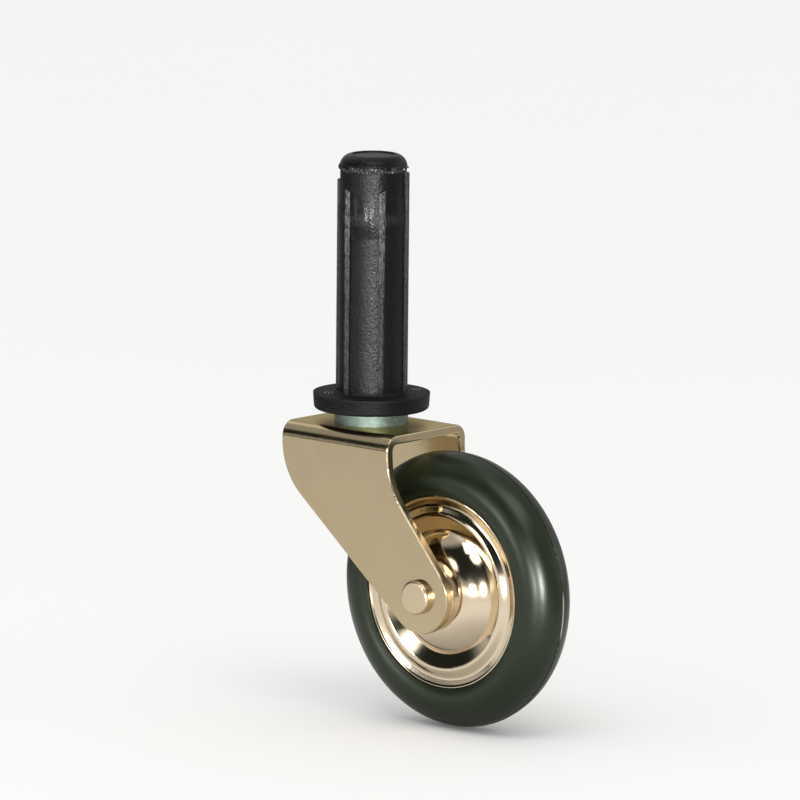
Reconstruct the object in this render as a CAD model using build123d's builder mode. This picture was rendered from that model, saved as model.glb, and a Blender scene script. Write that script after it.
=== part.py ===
from build123d import *
import os
from math import acos, cos, degrees, radians, sin

os.makedirs("parts", exist_ok=True)

# Tea trolley castor: a ribbed plug for a tube leg, a folded sheet fork that swivels
# under it on a king pin, and a pressed-disc wheel with a rubber tyre.
# Millimetres, +Z up. The origin is the centre of the plug flange's top face, where the
# end of the tube leg rests. +X points from the swivel axis to the axle, which lies along Y.

# Wheel
wheel_diameter = 75.0
tyre_height = 15.8
tyre_width = 15.4
tyre_foot_height = 4.6
parting_line_width = 0.5
parting_line_height = 0.12
disc_sheet = 0.9
tyre_showing = 11.1
lip_flare_width = 1.0
lip_flare_rise = 0.45
lip_bend_radius = 0.8
lip_edge_share = 0.48
lip_width = 2.9
lip_offset = 6.85
valley_offset = 6.05
crest_width = 2.2
crest_offset = 7.25
crease_width = 4.3
crease_offset = 5.75
dome_edge_offset = 10.35
dome_bulge = 0.75
valley_bend_radius = 1.6
crest_bend_radius = 2.0

# Hub and axle
hub_diameter = 19.5
hub_length = 26.7
hub_wall = 1.4
hub_edge_radius = 0.5
bush_inset = 0.6
axle_diameter = 6.0
axle_head_diameter = 9.4
axle_head_height = 1.9
axle_head_edge = 0.8

# Fork
fork_sheet = 2.4
fork_bend_radius = 4.0
fork_edge_radius = 0.4
plate_front = 20.0
plate_rear = 18.2
trail = 31.5
crown_gap = 2.1
heel_depth = 13.9
heel_radius = 19.0
throat_depth = 12.5
throat_radius = 20.0
leg_end_radius = 10.2

# King pin and snap ring
pin_diameter = 11.0
pin_height = 53.0
pin_tip_chamfer = 1.5
collar_diameter = 20.0
collar_height = 3.65
collar_chamfer = 0.5
tenon_diameter = 9.0
rivet_head_diameter = 15.0
rivet_head_height = 1.9
rivet_head_edge = 1.2
ring_height = 48.5
ring_width = 1.7
ring_thickness = 1.3
ring_opening = 40.0
groove_depth = 0.9

# Plug
core_diameter = 18.3
core_draft = 0.15
plug_height = 65.1
shoulder_height = 2.3
plug_top_diameter = 13.2
top_rim_width = 0.8
top_dish_depth = 0.3
burr_drop = 0.1
burr_height = 1.5
burr_reach = 0.2
shoulder_bulge = 0.45
bulge_height = 11.0
bulge_reach = 0.26
over_ribs_diameter = 19.9
rib_width = 1.5
rib_rise = 0.55
rib_spread = 30.0
rib_top = 56.3
left_rib_top = 57.9
right_rib_top = 61.2
rib_bevel = 0.8
draw_angle = -64.4
flange_diameter = 31.8
flange_thickness = 4.45
flange_draft = 0.3
flange_edge_radius = 1.0
flange_foot_radius = 0.5
rim_groove_count = 5
rim_groove_pitch = 0.62
rim_groove_width = 0.22
rim_groove_depth = 0.14
rim_groove_rise = 0.25
ejector_mark_diameter = 2.2
ejector_mark_radius = 12.7
ejector_mark_depth = 0.2
ejector_mark_ring = 0.35
bore_end_gap = 1.0
bore_mouth_chamfer = 0.8

# Clearances
swivel_gap = 0.1
pin_clearance = 0.05
ring_clearance = 0.05
ring_room = 0.25
axle_clearance = 0.06
rivet_clearance = 0.02
seat_clearance = 0.02
hub_play = 0.25

# Heights on the swivel axis
flange_bottom = -flange_thickness
collar_top = flange_bottom - swivel_gap
plate_top = collar_top - collar_height
plate_bottom = plate_top - fork_sheet

# Places set by the wheel
wheel_radius = wheel_diameter / 2
axle_height = plate_bottom - crown_gap - wheel_radius
axle_point = (trail, 0, axle_height)
wheel_plane = Plane(origin=axle_point, x_dir=(0, 1, 0), z_dir=(1, 0, 0))
wheel_axis = Axis(axle_point, (0, 1, 0))
fork_inner_half = hub_length / 2 + hub_play
fork_outer_half = fork_inner_half + fork_sheet
hub_radius = hub_diameter / 2

# Rings of the pressed discs, each stepped in from the one outside it
lip_radius = wheel_radius - tyre_showing
valley_radius = lip_radius - lip_width
crest_radius = valley_radius - crest_width
crease_radius = crest_radius - crease_width


# Tyre: a rubber ring of round section whose foot is pinched between the two discs
tread_centre = wheel_radius - tyre_height / 2
foot_half_width = valley_offset - disc_sheet - seat_clearance
foot_radius = valley_radius - tyre_foot_height

inward = (Align.CENTER, Align.MAX)
outward = (Align.CENTER, Align.MIN)

with BuildPart() as tyre:
    with BuildSketch(wheel_plane) as tyre_section:
        with Locations((0, tread_centre)):
            Ellipse(tyre_width / 2, tyre_height / 2)
        with Locations((0, lip_radius + seat_clearance)):
            Rectangle(2 * tyre_width, tyre_height, align=inward, mode=Mode.SUBTRACT)
        with Locations((0, foot_radius)):
            Rectangle(2 * foot_half_width, tread_centre - foot_radius, align=outward)
        with Locations((0, wheel_radius)):
            Rectangle(parting_line_width, 2 * parting_line_height)
    revolve(axis=wheel_axis)
tyre.part.label = "tyre"
export_step(tyre.part, "parts/tyre.step")


# Pressed discs: lip on the tyre, valley that pinches its foot, round crest, crease and domed centre
hub_hole_radius = hub_radius + seat_clearance

for side, disc_name in ((-1, "wheel_disc_near"), (1, "wheel_disc_far")):
    lip_point = (side * lip_offset, lip_radius)
    flare_point = (side * (lip_offset - lip_flare_rise), lip_radius - lip_flare_width)
    valley_point = (side * valley_offset, valley_radius)
    crest_point = (side * crest_offset, crest_radius)
    crease_point = (side * crease_offset, crease_radius)
    dome_point = (side * dome_edge_offset, hub_hole_radius)
    with BuildPart() as wheel_disc:
        with BuildSketch(wheel_plane) as disc_section:
            with BuildLine():
                FilletPolyline(
                    lip_point,
                    flare_point,
                    valley_point,
                    crest_point,
                    crease_point,
                    radius=(lip_bend_radius, valley_bend_radius, crest_bend_radius),
                )
                SagittaArc(crease_point, dome_point, side * dome_bulge)
                offset(amount=disc_sheet, side=Side.LEFT if side < 0 else Side.RIGHT)
            make_face()
            with Locations((0, hub_hole_radius)):
                sheet_height = lip_radius - hub_hole_radius
                Rectangle(4 * dome_edge_offset, sheet_height, align=outward, mode=Mode.INTERSECT)
            fillet(disc_section.vertices().sort_by(Axis.Y)[-2:], lip_edge_share * disc_sheet)
        revolve(axis=wheel_axis)
    wheel_disc.part.label = disc_name
    export_step(wheel_disc.part, f"parts/{disc_name}.step")


# Hub: a steel tube through both discs, and the plain bush inside it that turns on the axle
with BuildPart() as hub_sleeve:
    with BuildSketch(wheel_plane) as hub_section:
        with Locations((0, hub_radius - hub_wall)):
            Rectangle(hub_length, hub_wall, align=outward)
        fillet(hub_section.vertices().sort_by(Axis.Y)[-2:], hub_edge_radius)
    revolve(axis=wheel_axis)
hub_sleeve.part.label = "hub_sleeve"
export_step(hub_sleeve.part, "parts/hub_sleeve.step")

axle_radius = axle_diameter / 2
bush_bore_radius = axle_radius + axle_clearance
bush_radius = hub_radius - hub_wall - seat_clearance
bush_length = hub_length - 2 * bush_inset

with BuildPart() as axle_bush:
    with BuildSketch(wheel_plane):
        with Locations((0, bush_bore_radius)):
            Rectangle(bush_length, bush_radius - bush_bore_radius, align=outward)
    revolve(axis=wheel_axis)
axle_bush.part.label = "axle_bush"
export_step(axle_bush.part, "parts/axle_bush.step")


# Axle rivet: a plain shank with the same low round-edged head closed on each leg
head_seat = fork_outer_half + seat_clearance
head_end = head_seat + axle_head_height

with BuildPart() as axle_rivet:
    with BuildSketch(wheel_plane) as rivet_section:
        Rectangle(2 * head_end, axle_radius, align=outward)
        for side, to_middle in ((-1, Align.MIN), (1, Align.MAX)):
            with Locations((side * head_end, 0)):
                Rectangle(axle_head_height, axle_head_diameter / 2, align=(to_middle, Align.MIN))
        head_corners = rivet_section.vertices().group_by(Axis.Y)[-1].sort_by(Axis.X)
        fillet([head_corners[0], head_corners[-1]], axle_head_edge)
    revolve(axis=wheel_axis)
axle_rivet.part.label = "axle_rivet"
export_step(axle_rivet.part, "parts/axle_rivet.step")


# Fork: one sheet folded to a channel, its legs cut to run forward from the plate to the axle
axle_centre = Vector(trail, axle_height)
heel_corner = Vector(-plate_rear, plate_top - heel_depth)
throat_corner = Vector(plate_front, plate_top - throat_depth)
leg_bottom = axle_height - leg_end_radius - fork_sheet
leg_hole_radius = axle_radius + rivet_clearance
tenon_radius = tenon_diameter / 2
tenon_hole_radius = tenon_radius + rivet_clearance


def touching_point(corner, turn):
    """Point where the straight edge from a corner touches the round end of the leg."""
    to_corner = corner - axle_centre
    opening = degrees(acos(leg_end_radius / to_corner.length))
    return axle_centre + to_corner.normalized().rotate(Axis.Z, turn * opening) * leg_end_radius


def is_cut_face(face):
    """A face through the sheet's thickness, left by the shears."""
    normal = face.normal_at()
    return abs(normal.Y) < 0.01 and abs(normal.Z) < 0.999


def crosses_sheet(edge):
    """A short edge through the sheet's thickness, between two cut faces."""
    along_axle = edge.geom_type == GeomType.LINE and abs(edge.tangent_at(0).Y) > 0.99
    return along_axle and edge.length < 1.5 * fork_sheet


with BuildPart() as fork:
    with BuildSketch(Plane.YZ):
        with BuildLine():
            FilletPolyline(
                (-fork_outer_half, leg_bottom),
                (-fork_outer_half, plate_top),
                (fork_outer_half, plate_top),
                (fork_outer_half, leg_bottom),
                radius=fork_bend_radius,
            )
            offset(amount=fork_sheet, side=Side.RIGHT)
        make_face()
    extrude(amount=2 * (trail + wheel_radius), both=True)
    with BuildSketch(Plane.XZ) as leg_outline:
        Polygon(
            heel_corner,
            (-plate_rear, plate_top),
            (plate_front, plate_top),
            throat_corner,
            touching_point(throat_corner, -1),
            axle_centre,
            touching_point(heel_corner, 1),
            align=None,
        )
        fillet(leg_outline.vertices().sort_by_distance(heel_corner)[0], heel_radius)
        fillet(leg_outline.vertices().sort_by_distance(throat_corner)[0], throat_radius)
        with Locations(axle_centre):
            Circle(leg_end_radius)
    extrude(amount=2 * fork_outer_half, both=True, mode=Mode.INTERSECT)
    cut_faces = fork.faces().filter_by(is_cut_face)
    fillet(cut_faces.edges().filter_by(lambda edge: not crosses_sheet(edge)), fork_edge_radius)
    with BuildSketch(Plane.XZ):
        with Locations(axle_centre):
            Circle(leg_hole_radius)
    extrude(amount=2 * fork_outer_half, both=True, mode=Mode.SUBTRACT)
    with BuildSketch(Plane.XY.offset(plate_top)):
        Circle(tenon_hole_radius)
    extrude(amount=-2 * fork_sheet, mode=Mode.SUBTRACT)
fork.part.label = "fork"
export_step(fork.part, "parts/fork.step")


# King pin: tenon riveted under the plate, zinc collar, long shank with a groove for the snap ring
pin_radius = pin_diameter / 2
collar_radius = collar_diameter / 2
groove_radius = pin_radius - groove_depth
groove_half = ring_thickness / 2 + ring_clearance
head_top = plate_bottom - seat_clearance

with BuildPart() as king_pin:
    with BuildSketch(Plane.XZ) as pin_section:
        with Locations((0, head_top - rivet_head_height)):
            Rectangle(rivet_head_diameter / 2, rivet_head_height, align=(Align.MIN, Align.MIN))
        head_corner = (rivet_head_diameter / 2, head_top - rivet_head_height)
        fillet(pin_section.vertices().sort_by_distance(head_corner)[0], rivet_head_edge)
        with Locations((0, head_top)):
            Rectangle(tenon_radius, plate_top - head_top + seat_clearance, align=(Align.MIN, Align.MIN))
        with Locations((0, collar_top)):
            Rectangle(collar_radius, collar_height - seat_clearance, align=(Align.MIN, Align.MAX))
        chamfer(pin_section.vertices().sort_by_distance((collar_radius, collar_top))[0], collar_chamfer)
        with Locations((0, collar_top)):
            Rectangle(pin_radius, pin_height - collar_top, align=(Align.MIN, Align.MIN))
        chamfer(pin_section.vertices().sort_by_distance((pin_radius, pin_height))[0], pin_tip_chamfer)
        with Locations((pin_radius, ring_height)):
            Rectangle(2 * groove_depth, 2 * groove_half, mode=Mode.SUBTRACT)
    revolve(axis=Axis.Z)
king_pin.part.label = "king_pin"
export_step(king_pin.part, "parts/king_pin.step")


# Snap ring: an open spring ring in the pin's groove, which holds the pin up in the plug
ring_inner_radius = groove_radius + ring_clearance
ring_outer_radius = ring_inner_radius + ring_width

with BuildPart() as snap_ring:
    with BuildSketch(Plane.XZ) as ring_section:
        with Locations((ring_inner_radius, ring_height)):
            Rectangle(ring_width, ring_thickness, align=(Align.MIN, Align.CENTER))
        fillet(ring_section.vertices().sort_by(Axis.X)[-2:], ring_thickness / 4)
    revolve(axis=Axis.Z, revolution_arc=360 - ring_opening)
snap_ring.part.label = "snap_ring"
export_step(snap_ring.part, "parts/snap_ring.step")


# Plug: one moulding with a flange, a blind bore and six ribs. The mould opened along draw_angle, so
# four ribs have their crowns square to it, and the other two stand on the parting line.
core_radius = core_diameter / 2
flange_radius = flange_diameter / 2
bore_radius = pin_radius + pin_clearance
bore_end = pin_height + bore_end_gap
ring_room_radius = ring_outer_radius + ring_room
ring_room_height = ring_thickness + 2 * ring_room
shoulder_start = plug_height - shoulder_height
burr_top = shoulder_start - burr_drop
burr_bottom = burr_top - burr_height
rib_offset = (core_radius + rib_rise) * sin(radians(rib_spread))
rib_crown = (core_radius + rib_rise) * cos(radians(rib_spread))
mould_plane = Plane.XY.rotated((0, 0, draw_angle))
mark_angle = draw_angle + 2 * rib_spread
bulge_top = ring_height + bulge_height / 2
bulge_bottom = ring_height - bulge_height / 2


def core_point(height):
    """Radius and height of a point on the side of the drafted core."""
    return (core_radius - core_draft * height / shoulder_start, height)


with BuildPart() as plug_sleeve:
    with BuildSketch(mould_plane):
        with GridLocations(1, 2 * rib_offset, 1, 2):
            Rectangle(2 * rib_crown, rib_width)
    extrude(amount=rib_top)
    top_edges = plug_sleeve.edges().group_by(Axis.Z)[-1]
    chamfer(top_edges.filter_by(lambda edge: edge.length < 2 * rib_width), rib_bevel)
    with BuildSketch(mould_plane):
        Rectangle(rib_width, over_ribs_diameter / 2, align=(Align.CENTER, Align.MAX))
    extrude(amount=left_rib_top)
    with BuildSketch(mould_plane):
        Rectangle(rib_width, over_ribs_diameter / 2, align=(Align.CENTER, Align.MIN))
    extrude(amount=right_rib_top)
    top_edges = plug_sleeve.edges().group_by(Axis.Z)[-1].filter_by(lambda edge: edge.length < 2 * rib_width)
    chamfer(top_edges.sort_by(Axis((0, 0, 0), mould_plane.y_dir))[-1], rib_bevel, 3 * rib_bevel)
    with BuildSketch(mould_plane):
        Circle(over_ribs_diameter / 2)
    extrude(amount=plug_height, mode=Mode.INTERSECT)
    with BuildSketch(Plane.XZ) as plug_section:
        with BuildLine():
            Polyline((0, flange_bottom), (0, plug_height), (plug_top_diameter / 2, plug_height))
            SagittaArc((plug_top_diameter / 2, plug_height), core_point(shoulder_start), shoulder_bulge)
            Line(core_point(shoulder_start), core_point(burr_top))
            SagittaArc(core_point(burr_top), core_point(burr_bottom), burr_reach)
            Line(core_point(burr_bottom), core_point(bulge_top))
            SagittaArc(core_point(bulge_top), core_point(bulge_bottom), bulge_reach)
            Polyline(core_point(bulge_bottom), core_point(0), (flange_radius, 0))
            Polyline((flange_radius, 0), (flange_radius - flange_draft, flange_bottom), (0, flange_bottom))
        make_face()
        fillet(plug_section.vertices().sort_by_distance(core_point(0))[0], flange_foot_radius)
        flange_corner = plug_section.vertices().sort_by_distance((flange_radius, flange_bottom))[0]
        fillet(flange_corner, flange_edge_radius)
    revolve(axis=Axis.Z)
    with BuildSketch(Plane.XZ):
        rim_middle = flange_bottom / 2 + rim_groove_rise
        with Locations((flange_radius - flange_draft / 2, rim_middle)):
            with GridLocations(1, rim_groove_pitch, 1, rim_groove_count):
                Rectangle(2 * rim_groove_depth, rim_groove_width)
        with Locations((0, plug_height)):
            dish_radius = plug_top_diameter / 2 - top_rim_width
            Rectangle(dish_radius, 2 * top_dish_depth, align=(Align.MIN, Align.CENTER))
    revolve(axis=Axis.Z, mode=Mode.SUBTRACT)
    with BuildSketch(Plane.XY):
        with PolarLocations(ejector_mark_radius, 2, start_angle=mark_angle):
            Circle(ejector_mark_diameter / 2)
            Circle(ejector_mark_diameter / 2 - ejector_mark_ring, mode=Mode.SUBTRACT)
    extrude(amount=-ejector_mark_depth, mode=Mode.SUBTRACT)
    with BuildSketch(Plane.XZ):
        with Locations((0, flange_bottom)):
            Rectangle(bore_radius, bore_end - flange_bottom, align=(Align.MIN, Align.MIN))
        with Locations((0, ring_height)):
            Rectangle(ring_room_radius, ring_room_height, align=(Align.MIN, Align.CENTER))
        Polygon(
            (0, flange_bottom),
            (bore_radius + bore_mouth_chamfer, flange_bottom),
            (bore_radius, flange_bottom + bore_mouth_chamfer),
            (0, flange_bottom + bore_mouth_chamfer),
            align=None,
        )
    revolve(axis=Axis.Z, mode=Mode.SUBTRACT)
plug_sleeve.part.label = "plug_sleeve"
export_step(plug_sleeve.part, "parts/plug_sleeve.step")
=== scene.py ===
import math
import random

import bmesh
import bpy
from mathutils import Matrix, Vector


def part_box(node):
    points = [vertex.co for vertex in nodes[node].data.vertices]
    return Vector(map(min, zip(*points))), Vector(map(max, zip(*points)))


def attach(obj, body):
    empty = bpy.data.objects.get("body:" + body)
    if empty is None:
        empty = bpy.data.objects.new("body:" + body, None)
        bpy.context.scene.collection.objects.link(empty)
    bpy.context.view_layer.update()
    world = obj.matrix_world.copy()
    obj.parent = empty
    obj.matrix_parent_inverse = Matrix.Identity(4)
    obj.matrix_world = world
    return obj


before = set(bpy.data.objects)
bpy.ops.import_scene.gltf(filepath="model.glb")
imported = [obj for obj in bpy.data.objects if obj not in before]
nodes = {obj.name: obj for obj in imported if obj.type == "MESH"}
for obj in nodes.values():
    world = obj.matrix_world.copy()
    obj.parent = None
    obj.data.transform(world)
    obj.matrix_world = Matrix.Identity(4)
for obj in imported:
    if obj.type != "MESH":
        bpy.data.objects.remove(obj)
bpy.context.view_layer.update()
scene = bpy.context.scene
scene.view_settings.view_transform = "Standard"


# Camera, at the angle that the photograph was taken from
AZIMUTH, ELEVATION, ROLL = (math.radians(a) for a in (41.318, 9.824, 0.537))
CAMERA_DISTANCE = 2.3383
FOCAL_PIXELS = 8657.7
IMAGE_PIXELS = 800
SENSOR_WIDTH = 36
AIM = Vector((0.020, 0, -0.020))
SHIFT_RIGHT, SHIFT_UP = -0.007295, 0.019743

back = Vector((
    math.sin(AZIMUTH) * math.cos(ELEVATION),
    -math.cos(AZIMUTH) * math.cos(ELEVATION),
    math.sin(ELEVATION),
))
level_right = Vector((math.cos(AZIMUTH), math.sin(AZIMUTH), 0))
level_up = back.cross(level_right)
target = AIM + SHIFT_RIGHT * level_right + SHIFT_UP * level_up
right = math.cos(ROLL) * level_right + math.sin(ROLL) * level_up
up = math.cos(ROLL) * level_up - math.sin(ROLL) * level_right

camera = bpy.data.objects.new("camera", bpy.data.cameras.new("camera"))
scene.collection.objects.link(camera)
scene.camera = camera
camera.data.sensor_width = SENSOR_WIDTH
camera.data.lens = FOCAL_PIXELS / IMAGE_PIXELS * SENSOR_WIDTH
camera.data.clip_end = 50
turn = Matrix((right, up, back)).transposed()
camera.matrix_world = Matrix.Translation(target + CAMERA_DISTANCE * back) @ turn.to_4x4()


def toward(across, rise):
    """Unit direction across degrees to the right of the camera and rise degrees up."""
    turn_to = AZIMUTH + math.radians(across)
    tilt = math.radians(rise)
    return Vector((
        math.sin(turn_to) * math.cos(tilt),
        -math.cos(turn_to) * math.cos(tilt),
        math.sin(tilt),
    ))


# Node helpers
def srgb(red, green, blue):
    """The linear colour of an sRGB colour given as 0 to 255."""
    def linear(value):
        value /= 255
        return value / 12.92 if value <= 0.04045 else ((value + 0.055) / 1.055) ** 2.4
    return (linear(red), linear(green), linear(blue), 1)


class Nodes:
    """Short names for adding and joining the nodes of one tree."""

    def __init__(self, tree):
        self.tree = tree
        tree.nodes.clear()

    def add(self, kind, **settings):
        node = self.tree.nodes.new(kind)
        for name, value in settings.items():
            setattr(node, name, value)
        return node

    def put(self, socket, value):
        if isinstance(value, bpy.types.NodeSocket):
            self.tree.links.new(value, socket)
        elif value is not None:
            socket.default_value = value

    def math(self, operation, a, b=None, clamp=False):
        node = self.add("ShaderNodeMath", operation=operation, use_clamp=clamp)
        self.put(node.inputs[0], a)
        self.put(node.inputs[1], b)
        return node.outputs[0]

    def position(self):
        return self.add("ShaderNodeTexCoord").outputs["Object"]

    def scaled(self, vector, scale, location=(0, 0, 0), rotation=(0, 0, 0)):
        node = self.add("ShaderNodeMapping")
        self.put(node.inputs["Vector"], vector)
        node.inputs["Scale"].default_value = scale
        node.inputs["Location"].default_value = location
        node.inputs["Rotation"].default_value = rotation
        return node.outputs[0]

    def noise(self, vector, scale, detail=3, roughness=0.5):
        node = self.add("ShaderNodeTexNoise")
        self.put(node.inputs["Vector"], vector)
        node.inputs["Scale"].default_value = scale
        node.inputs["Detail"].default_value = detail
        node.inputs["Roughness"].default_value = roughness
        return node.outputs[0]

    def voronoi(self, vector, scale):
        node = self.add("ShaderNodeTexVoronoi")
        self.put(node.inputs["Vector"], vector)
        node.inputs["Scale"].default_value = scale
        return node.outputs[0]

    def span(self, value, low, high, to_low=0, to_high=1, smooth=False):
        node = self.add("ShaderNodeMapRange")
        if smooth:
            node.interpolation_type = "SMOOTHSTEP"
        for name, number in (("Value", value), ("From Min", low), ("From Max", high)):
            self.put(node.inputs[name], number)
        self.put(node.inputs["To Min"], to_low)
        self.put(node.inputs["To Max"], to_high)
        return node.outputs[0]

    def mix(self, share, a, b):
        node = self.add("ShaderNodeMix", data_type="RGBA")
        self.put(node.inputs["Factor"], share)
        self.put(node.inputs[6], a)
        self.put(node.inputs[7], b)
        return node.outputs[2]

    def bump(self, height, distance, strength=1.0, normal=None):
        node = self.add("ShaderNodeBump")
        node.inputs["Strength"].default_value = strength
        node.inputs["Distance"].default_value = distance
        self.put(node.inputs["Height"], height)
        if normal is not None:
            self.put(node.inputs["Normal"], normal)
        return node.outputs[0]

    def parts(self, vector):
        node = self.add("ShaderNodeSeparateXYZ")
        self.put(node.inputs[0], vector)
        return node.outputs

    def dot(self, vector, direction):
        node = self.add("ShaderNodeVectorMath", operation="DOT_PRODUCT")
        self.put(node.inputs[0], vector)
        node.inputs[1].default_value = direction
        return node.outputs["Value"]

    def times(self, *factors):
        product = factors[0]
        for factor in factors[1:]:
            product = self.math("MULTIPLY", product, factor)
        return product

    def hypot(self, a, b):
        """The distance from an axis, from the two coordinates across it."""
        return self.math("SQRT", self.math("ADD", self.times(a, a), self.times(b, b)))

    def finish(self, color, roughness, normal=None, metallic=0.0, specular=0.5, **sockets):
        """The shader, with the settings that are the same all over put on its own sockets."""
        shader = self.add("ShaderNodeBsdfPrincipled")
        self.put(shader.inputs["Base Color"], color)
        self.put(shader.inputs["Roughness"], roughness)
        self.put(shader.inputs["Normal"], normal)
        shader.inputs["Metallic"].default_value = metallic
        shader.inputs["Specular IOR Level"].default_value = specular
        for name, value in sockets.items():
            shader.inputs[name.replace("_", " ")].default_value = value
        output = self.add("ShaderNodeOutputMaterial")
        self.tree.links.new(shader.outputs[0], output.inputs["Surface"])


def new_material(name):
    material = bpy.data.materials.new(name)
    material.use_nodes = True
    return material, Nodes(material.node_tree)


def wear(*names):
    """Gives a material to CAD nodes."""
    def give(material):
        for name in names:
            slots = nodes[name].data.materials
            slots.clear()
            slots.append(material)
    return give


# Heights and places on the part that the materials need, in metres
AXLE = (0.0315, 0, -0.0502)
TO_AXLE = tuple(-c for c in AXLE)
PLATE_TOP = -0.0082


# Bright nickel on the folded fork: rolled sheet under the plating, with fine handling marks, and
# duller on the plate round the collar
def fork_nickel():
    material, n = new_material("nickel_sheet")
    place = n.position()
    cloud = n.noise(place, 90, 3, 0.5)
    grain = n.noise(n.scaled(place, (350, 350, 5200)), 1, 4, 0.6)
    streaks = n.noise(n.scaled(place, (900, 900, 90), rotation=(0, 0.62, 0)), 1, 3, 0.7)
    marks = n.span(streaks, 0.60, 0.74)
    color = n.mix(cloud, srgb(200, 182, 149), srgb(192, 174, 141))
    color = n.mix(n.times(marks, 0.30), color, srgb(218, 202, 172))
    rough = n.math("ADD", n.span(cloud, 0.3, 0.7, 0.13, 0.17), n.times(grain, 0.04))
    rough = n.math("ADD", rough, n.times(marks, 0.06))
    x, y, z = n.parts(place)
    on_top = n.span(z, PLATE_TOP - 0.0003, PLATE_TOP - 0.0001)
    dulled = n.times(n.span(n.hypot(x, y), 0.0200, 0.0130, smooth=True), on_top)
    rough = n.math("ADD", rough, n.times(dulled, 0.22))
    peel = n.noise(place, 420, 2, 0.5)
    normal = n.bump(peel, 0.00002, 0.4)
    normal = n.bump(n.noise(place, 70, 2, 0.5), 0.00012, 0.35, normal)
    normal = n.bump(grain, 0.00001, 0.15, normal)
    n.finish(color, rough, normal, metallic=1.0, Specular_Tint=(0.92, 0.84, 0.56, 1))
    return material


# Bright nickel on the pressed discs and hub: mirror-like, with faint rings left by the press tool
def disc_nickel():
    material, n = new_material("nickel_disc")
    place = n.scaled(n.position(), (1, 1, 1), location=TO_AXLE)
    x, y, z = n.parts(place)
    rings = n.add("ShaderNodeTexNoise", noise_dimensions="1D")
    n.put(rings.inputs["W"], n.hypot(x, z))
    rings.inputs["Scale"].default_value = 2600
    rings.inputs["Detail"].default_value = 3
    cloud = n.noise(place, 110, 3, 0.5)
    peel = n.noise(place, 260, 2, 0.5)
    color = n.mix(cloud, srgb(232, 215, 188), srgb(223, 206, 179))
    ripple = rings.outputs[0]
    rough = n.math("ADD", n.span(cloud, 0.3, 0.7, 0.06, 0.10), n.times(ripple, 0.04))
    normal = n.bump(peel, 0.00006, 0.5)
    normal = n.bump(ripple, 0.00001, 0.3, normal)
    n.finish(color, rough, normal, metallic=1.0)
    return material


# Nickel on the axle rivet: dimpled a little where the head was closed
def rivet_nickel():
    material, n = new_material("nickel_rivet")
    place = n.position()
    cloud = n.noise(place, 200, 3, 0.5)
    dimples = n.noise(place, 700, 2, 0.5)
    color = n.mix(cloud, srgb(216, 198, 168), srgb(208, 190, 159))
    rough = n.span(cloud, 0.3, 0.7, 0.20, 0.28)
    n.finish(color, rough, n.bump(dimples, 0.00005, 0.5), metallic=1.0)
    return material


# Passivated zinc on the king pin and its collar: cool and faintly green, with turning lines
def zinc():
    material, n = new_material("zinc_steel")
    place = n.position()
    cloud = n.noise(place, 260, 4, 0.6)
    lines = n.noise(n.scaled(place, (60, 60, 3600)), 1, 3, 0.6)
    scuffs = n.span(n.noise(n.scaled(place, (500, 500, 1500)), 1, 5, 0.7), 0.55, 0.72)
    color = n.mix(cloud, srgb(132, 147, 138), srgb(107, 122, 111))
    color = n.mix(n.times(scuffs, 0.5), color, srgb(200, 210, 202))
    rough = n.math("ADD", n.span(cloud, 0.3, 0.7, 0.44, 0.60), n.times(lines, 0.08))
    normal = n.bump(lines, 0.00003, 0.4)
    n.finish(color, rough, n.bump(cloud, 0.00003, 0.3, normal), metallic=1.0)
    return material


def spring_steel():
    material, n = new_material("spring_steel")
    cloud = n.noise(n.position(), 400, 3, 0.5)
    color = n.mix(cloud, srgb(120, 118, 112), srgb(96, 95, 92))
    n.finish(color, n.span(cloud, 0.3, 0.7, 0.3, 0.42), n.bump(cloud, 0.00002, 0.3), metallic=1.0)
    return material


def bush_plastic():
    material, n = new_material("bush_plastic")
    cloud = n.noise(n.position(), 300, 3, 0.5)
    color = n.mix(cloud, srgb(226, 221, 206), srgb(212, 206, 190))
    n.finish(color, n.span(cloud, 0.3, 0.7, 0.38, 0.5), n.bump(cloud, 0.00003, 0.3))
    return material


# Middle and pitch of the five fine grooves round the flange's rim
GROOVE_MIDDLE = -0.001975
GROOVE_PITCH = 0.00062


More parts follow.
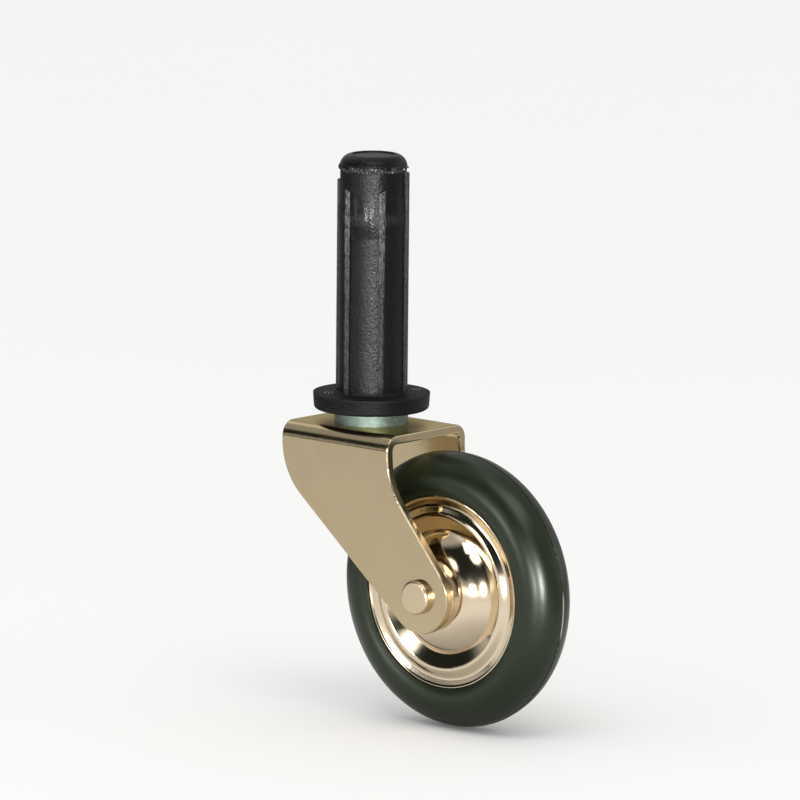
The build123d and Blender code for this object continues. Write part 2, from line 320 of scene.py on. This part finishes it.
# Black plastic of the plug: coarse grain from the mould, rib crowns painted paler (partly rubbing
# wear from the tube, partly a painted highlight strongest on the crowns facing the front lamps and
# towards the top), a smooth blister over the snap ring, a dull flange top and ridges between the
# rim's grooves
def plug_plastic():
    material, n = new_material("plug_plastic")
    place = n.position()
    x, y, z = n.parts(place)
    radius = n.hypot(x, y)
    cloud = n.noise(place, 140, 4, 0.6)
    grain = n.noise(place, 1500, 3, 0.6)
    pits = n.voronoi(place, 900)
    scuffs = n.span(n.noise(n.scaled(place, (900, 900, 240)), 1, 4, 0.8), 0.58, 0.74)

    above = n.span(z, 0.0400, 0.0480, smooth=True)
    below = n.span(z, 0.0560, 0.0480, smooth=True)
    facing = n.math("DIVIDE", n.dot(place, toward(-20, 0)), radius)
    swell = n.times(above, below, n.span(facing, 0.90, 1.0, smooth=True))

    crowns = n.times(n.span(radius, 0.00925, 0.0094), n.span(z, 0.001, 0.003))
    crowns = n.times(crowns, n.span(radius, 0.0104, 0.0101))
    patches = n.noise(n.scaled(place, (1300, 1300, 700)), 1, 4, 0.8)
    # Painted highlight: on top of rubbing wear, the crowns are paler where they face the front
    # lamps and towards the top
    lit_front = n.math("DIVIDE", n.dot(place, toward(-8, 0)), radius)
    rubbed_and_highlight = n.times(crowns, n.span(patches, 0.42, 0.62, 0.05, 1))
    rubbed_and_highlight = n.times(rubbed_and_highlight, n.span(z, 0.025, 0.050, 0.25, 1))
    rubbed_and_highlight = n.times(rubbed_and_highlight, n.span(lit_front, 0.55, 0.85, 0.30, 1))

    color = n.mix(n.span(grain, 0.35, 0.65), srgb(5, 5, 6), srgb(19, 19, 20))
    color = n.mix(n.times(scuffs, 0.20), color, srgb(80, 80, 81))
    color = n.mix(n.times(rubbed_and_highlight, 0.75), color, srgb(158, 158, 159))

    rim = n.times(n.span(radius, 0.0150, 0.0154), n.span(z, -0.0037, -0.0034))
    rim = n.times(rim, n.span(z, -0.0002, -0.0006))
    flange_top = n.times(n.span(z, 0.0015, 0.0005), n.math("SUBTRACT", 1, rim))
    rough = n.math("ADD", n.span(cloud, 0.3, 0.7, 0.28, 0.36), n.times(grain, 0.08))
    rough = n.math("SUBTRACT", rough, n.times(swell, 0.22))
    rough = n.math("ADD", rough, n.times(flange_top, 0.30))
    rough = n.math("ADD", rough, n.times(rim, 0.10))

    turns = n.times(n.math("SUBTRACT", z, GROOVE_MIDDLE), math.tau / GROOVE_PITCH)
    ridges = n.times(n.math("COSINE", turns), n.times(rim, -1))
    calm = n.math("SUBTRACT", 1, n.times(swell, 0.6))
    normal = n.bump(swell, 0.00024, 1.0)
    normal = n.bump(ridges, 0.00005, 1.0, normal)
    normal = n.bump(n.times(grain, calm), 0.00012, 0.9, normal)
    normal = n.bump(n.times(pits, calm), 0.00008, 0.5, normal)
    n.finish(color, rough, normal, specular=0.22)
    return material


# Rubber of the tyre: dark grey-green, smooth from the mould, with a soft sheen, and a painted
# highlight along the parting line that is pale along one stretch and dotted elsewhere on the same
# side
def tyre_rubber():
    material, n = new_material("tyre_rubber")
    place = n.position()
    cloud = n.noise(place, 60, 4, 0.6)
    grain = n.noise(place, 1900, 3, 0.6)
    dust = n.span(n.noise(place, 240, 6, 0.8), 0.60, 0.80)
    color = n.mix(cloud, srgb(29, 36, 21), srgb(25, 31, 17))
    color = n.mix(n.times(dust, 0.12), color, srgb(120, 122, 110))

    x, y, z = n.parts(n.scaled(place, (1, 1, 1), location=TO_AXLE))
    # Painted highlight along the parting line: pale colour for the glint on the seam's edge, on
    # one side of the wheel only
    tread = n.span(n.hypot(x, z), 0.03735, 0.03755)
    painted_seam_highlight = n.times(tread, n.span(n.math("ABSOLUTE", y), 0.00032, 0.00018))
    painted_seam_stretch = n.times(n.span(z, -0.0095, -0.0070), n.span(z, 0.0045, 0.0020))
    painted_seam_stretch = n.times(painted_seam_stretch, n.span(x, 0, 0.01))
    painted_seam_dots = n.span(n.noise(place, 700, 3, 0.7), 0.56, 0.66, 0, 0.45)
    painted_seam_dots = n.times(painted_seam_dots, n.span(x, 0.018, 0.030))
    painted_seam_highlight = n.times(painted_seam_highlight, n.math("MAXIMUM", painted_seam_stretch, painted_seam_dots))
    color = n.mix(n.times(painted_seam_highlight, 0.80), color, srgb(186, 192, 184))

    rough = n.math("ADD", n.span(cloud, 0.3, 0.7, 0.26, 0.32), n.times(grain, 0.06))
    normal = n.bump(grain, 0.00003, 0.35)
    normal = n.bump(cloud, 0.0002, 0.2, normal)
    n.finish(color, rough, normal, specular=0.45, Specular_Tint=(0.90, 1.0, 0.84, 1))
    return material


wear("fork")(fork_nickel())
wear("wheel_disc_near", "wheel_disc_far", "hub_sleeve")(disc_nickel())
wear("axle_rivet")(rivet_nickel())
wear("king_pin")(zinc())
wear("snap_ring")(spring_steel())
wear("axle_bush")(bush_plastic())
wear("plug_sleeve")(plug_plastic())
wear("tyre")(tyre_rubber())


# Pale plastic for the crumbs of flash: a painted glint, standing in for the highlights on small
# torn lumps
def glint_painted_plastic():
    material, n = new_material("glint_painted_plastic")
    cloud = n.noise(n.position(), 1500, 3, 0.6)
    color = n.mix(n.span(cloud, 0.35, 0.65), srgb(70, 70, 71), srgb(190, 190, 190))
    n.finish(color, n.span(cloud, 0.3, 0.7, 0.22, 0.32), n.bump(cloud, 0.00005, 0.5), specular=0.5)
    return material


def plug_piece(name, builder, material):
    """A small piece of plastic that rides on the plug."""
    bmesh.ops.recalc_face_normals(builder, faces=builder.faces)
    mesh = bpy.data.meshes.new(name)
    builder.to_mesh(mesh)
    builder.free()
    mesh.materials.append(material)
    piece = bpy.data.objects.new(name, mesh)
    scene.collection.objects.link(piece)
    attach(piece, "socket")


# Flash left by the mould round the plug's shoulder: a thin ragged band with lumps
def plug_flash():
    rng = random.Random(7)
    around, across = 300, 10
    middle, half_height, core = 0.0617, 0.00105, 0.00905

    def wander(terms):
        """Values from -1 to 1 that wander round the shoulder as a sum of waves."""
        waves = []
        for k in terms:
            waves.append((k, rng.uniform(0, math.tau), rng.uniform(0.4, 1.0) / math.sqrt(k)))
        row = []
        for i in range(around):
            row.append(sum(a * math.sin(k * math.tau * i / around + p) for k, p, a in waves))
        top = max(abs(v) for v in row)
        return [v / top for v in row]

    reach = wander((5, 9, 14, 23, 37, 52))
    drop = wander((4, 7, 12, 19, 31))
    builder = bmesh.new()
    rings = []
    for i in range(around):
        angle = math.tau * i / around
        lump = 0.00006 + 0.00060 * max(0, reach[i] - 0.15) + rng.uniform(0, 0.00004)
        low = middle - half_height * (0.75 + 0.35 * drop[i])
        high = middle + half_height * (0.8 + 0.15 * drop[(i * 7) % around])
        ring = []
        for j in range(across):
            share = math.tau * j / across
            rise = (low + high) / 2 + (high - low) / 2 * math.sin(share)
            out = core + lump * math.cos(share) + rng.uniform(-1, 1) * 0.000012
            ring.append(builder.verts.new((out * math.cos(angle), out * math.sin(angle), rise)))
        rings.append(ring)
    for i in range(around):
        this, after = rings[i], rings[(i + 1) % around]
        for j in range(across):
            k = (j + 1) % across
            builder.faces.new((this[j], after[j], after[k], this[k])).smooth = True
    # Lumps of the band reach the crowns' radius, so they take the crowns' painted highlight too
    plug_piece("plug_flash", builder, bpy.data.materials["plug_plastic"])


# Crumbs of flash under that band, and on the flange where the photograph shows two ejector marks
SHOULDER_CRUMBS = (
    -58, -37, -31, -24, -20, -17, -10, -5, -2, 4, 9, 14, 27, 33, 61, 88, 130, 171, 214, 255,
)
EJECTOR_MARKS = ((-0.0117, -0.0025), (0.0120, 0.0046))
MARK_CRUMBS = 9


def flash_specks():
    rng = random.Random(11)
    builder = bmesh.new()

    def crumb(spot, size):
        bmesh.ops.create_icosphere(
            builder, subdivisions=2, radius=size, matrix=Matrix.Translation(spot),
        )

    for turned in SHOULDER_CRUMBS:
        rise = rng.uniform(0.0611, 0.0621)
        crumb(0.00935 * toward(turned, 0) + Vector((0, 0, rise)), rng.uniform(0.00016, 0.00034))
    for across_by, away_by in EJECTOR_MARKS:
        place = across_by * level_right - away_by * toward(0, 0)
        for i in range(MARK_CRUMBS):
            angle = math.tau * i / MARK_CRUMBS
            out = rng.uniform(0.0009, 0.0013)
            spot = place + Vector((out * math.cos(angle), out * math.sin(angle), 0))
            crumb(spot, rng.uniform(0.00010, 0.00022))
    # The crumbs' pale colour is a painted glint
    plug_piece("flash_specks", builder, glint_painted_plastic())


plug_flash()
flash_specks()


# Floor under the wheel. To the lens it is lifted a little, less so where the lamp is strongest. To
# glossy surfaces only, it shows painted shade (darker areas, with a painted contact shadow close
# to the wheel) and a glowing pool of painted light, which are what the bright metal mirrors.
FLOOR_RADIUS = 12
FLOOR_LIFT = 0.05
FAR_LIFT = 0.09
POOL_LEVEL = 1.5
SMALLEST = 0.01
# Sides that bright metal mirrors darker: their direction, the cosines where that starts and ends,
# and how much darker they are
DARK_SIDES = ((95, 0.60, 0.86, 0.50), (-130, 0.72, 0.90, 0.85))


def floor():
    mesh = bpy.data.meshes.new("floor")
    builder = bmesh.new()
    bmesh.ops.create_circle(builder, cap_ends=True, radius=FLOOR_RADIUS, segments=128)
    builder.to_mesh(mesh)
    builder.free()
    piece = bpy.data.objects.new("floor", mesh)
    scene.collection.objects.link(piece)
    piece.location = (0, 0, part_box("tyre")[0].z - 0.0002)
    material, n = new_material("floor")
    place = n.position()
    rays = n.add("ShaderNodeLightPath").outputs
    glossy = rays["Is Glossy Ray"]
    seen = n.math("MAXIMUM", rays["Is Camera Ray"], glossy)
    pale = n.mix(n.noise(place, 3, 2, 0.5), srgb(244, 244, 243), srgb(246, 246, 245))

    length = n.add("ShaderNodeVectorMath", operation="LENGTH")
    n.put(length.inputs[0], n.scaled(place, (1, 1, 1), location=(-AXLE[0], 0, 0)))
    away = length.outputs["Value"]
    reach = n.math("MAXIMUM", away, SMALLEST)
    ahead = n.math("DIVIDE", n.dot(place, toward(-20, 0)), reach)
    aside = n.span(ahead, 0.60, 0.90, 0.90, 0.10, smooth=True)
    dim = n.times(n.span(away, 0.42, 0.90, 0, 1, smooth=True), aside)
    dim = n.math("MAXIMUM", dim, n.span(away, 0.13, 0.22, 0, 0.16, smooth=True))
    # Painted contact shadow: to glossy rays the floor is darker close to the wheel
    dim = n.math("MAXIMUM", dim, n.span(away, 0.015, 0.090, 0.42, 0, smooth=True))
    for turned, low, high, most in DARK_SIDES:
        side = n.math("DIVIDE", n.dot(place, toward(turned, 0)), reach)
        side = n.span(side, low, high, 0, most, smooth=True)
        side = n.times(side, n.span(away, 0.10, 0.25, smooth=True))
        dim = n.math("MAXIMUM", dim, side)

    # Painted light: a pool where the floor glows to glossy rays, though it is no lamp
    along = n.dot(place, toward(-27, 0))
    across = n.math("DIVIDE", n.dot(place, toward(63, 0)), n.math("MAXIMUM", along, SMALLEST))
    glowing_pool = n.span(n.math("ABSOLUTE", across), 0.12, 0.60, 1, 0, smooth=True)
    glowing_pool = n.times(glowing_pool, n.span(along, 0.22, 0.60, 0, 1, smooth=True), glossy, POOL_LEVEL)

    in_front = n.dot(place, toward(0, 0))
    under_lamp = n.span(in_front, 0.15, 0.80, smooth=True)
    under_lamp = n.times(under_lamp, n.span(in_front, 3.5, 1.8, smooth=True))
    lift = n.span(away, 0.3, 2.5, FLOOR_LIFT, FLOOR_LIFT + FAR_LIFT)
    lift = n.times(lift, n.math("SUBTRACT", 1, under_lamp))

    shader = n.add("ShaderNodeBsdfPrincipled")
    n.put(shader.inputs["Base Color"], n.mix(n.times(glossy, dim), pale, srgb(0, 0, 0)))
    n.put(shader.inputs["Emission Strength"], n.math("ADD", n.times(seen, lift), glowing_pool))
    shader.inputs["Roughness"].default_value = 0.9
    shader.inputs["Specular IOR Level"].default_value = 0
    shader.inputs["Emission Color"].default_value = (1, 1, 1, 1)
    output = n.add("ShaderNodeOutputMaterial")
    material.node_tree.links.new(shader.outputs[0], output.inputs["Surface"])
    mesh.materials.append(material)


floor()


# Light: a large soft lamp overhead, two low lamps that only glossy surfaces show, and a room that
# is pale to the lens and the surfaces but dim where bright metal mirrors its upper half
PLAIN_LEVEL = 0.82
LENS_LEVEL = 0.96
MIRRORED_LEVEL = 0.50
LEAST_MIRRORED = 0.015
# Brighter patches of the mirrored room: across, rise, inner and outer degrees, and strength
LIT_PATCHES = (
    (-58, 18, 3, 9, 2.4), (-64, 4, 3, 9, 10.0), (100, 8, 8, 28, 0.7),
    (-6, 48, 4, 12, 3.0), (-118, 56, 24, 38, 0.42),
)


def studio():
    world = bpy.data.worlds.new("studio")
    scene.world = world
    world.use_nodes = True
    n = Nodes(world.node_tree)
    direction = n.add("ShaderNodeTexCoord").outputs["Generated"]
    rays = n.add("ShaderNodeLightPath").outputs

    def patch(across, rise, inner, outer, amount):
        """A round patch of the room, with a soft edge from inner to outer degrees."""
        near = n.dot(direction, toward(across, rise))
        edge, core = math.cos(math.radians(outer)), math.cos(math.radians(inner))
        return n.span(near, edge, core, 0, amount, smooth=True)

    high = n.parts(direction)[2]
    level = n.math("MAXIMUM", n.math("SUBTRACT", 1, n.times(high, high)), 0.001)
    facing = n.math("DIVIDE", n.dot(direction, toward(-48, 0)), n.math("SQRT", level))
    band = n.times(n.span(high, 0.02, 0.16, smooth=True), n.span(high, 0.98, 0.86, smooth=True))
    band = n.times(band, n.span(facing, -0.10, 0.25, 0, 0.485, smooth=True))
    mirrored = n.math("MAXIMUM", n.math("SUBTRACT", MIRRORED_LEVEL, band), LEAST_MIRRORED)
    for lit in LIT_PATCHES:
        mirrored = n.math("ADD", mirrored, patch(*lit))
    for_lens = n.times(rays["Is Camera Ray"], LENS_LEVEL - PLAIN_LEVEL)
    plain = n.math("ADD", PLAIN_LEVEL, for_lens)
    difference = n.math("SUBTRACT", mirrored, plain)
    strength = n.math("ADD", plain, n.times(rays["Is Glossy Ray"], difference))
    background = n.add("ShaderNodeBackground")
    shaded = n.times(rays["Is Glossy Ray"], n.span(mirrored, 0.25, 0.02))
    n.put(background.inputs["Color"], n.mix(shaded, (1, 1, 1, 1), (0.76, 1.0, 0.84, 1)))
    n.put(background.inputs["Strength"], strength)
    output = n.add("ShaderNodeOutputWorld")
    world.node_tree.links.new(background.outputs[0], output.inputs["Surface"])


def soft_box(name, across, rise, distance, width, height, watts, sheen_only=False):
    """A lamp that faces the object. One for sheen only is mirrored but lights no matt surface."""
    lamp = bpy.data.lights.new(name, "AREA")
    lamp.shape = "RECTANGLE"
    lamp.size, lamp.size_y = width, height
    lamp.energy = watts
    piece = bpy.data.objects.new(name, lamp)
    scene.collection.objects.link(piece)
    piece.visible_camera = False
    piece.visible_diffuse = not sheen_only
    piece.location = AIM + distance * toward(across, rise)
    piece.rotation_euler = toward(across, rise).to_track_quat("Z", "Y").to_euler()


studio()
soft_box("overhead_light", 0, 64, 2.4, 1.75, 0.92, 13.5)
soft_box("left_strip", -21, 0.4, 1.8, 0.32, 0.12, 12, sheen_only=True)
soft_box("right_strip", 5, 3.5, 1.8, 0.10, 0.26, 33, sheen_only=True)
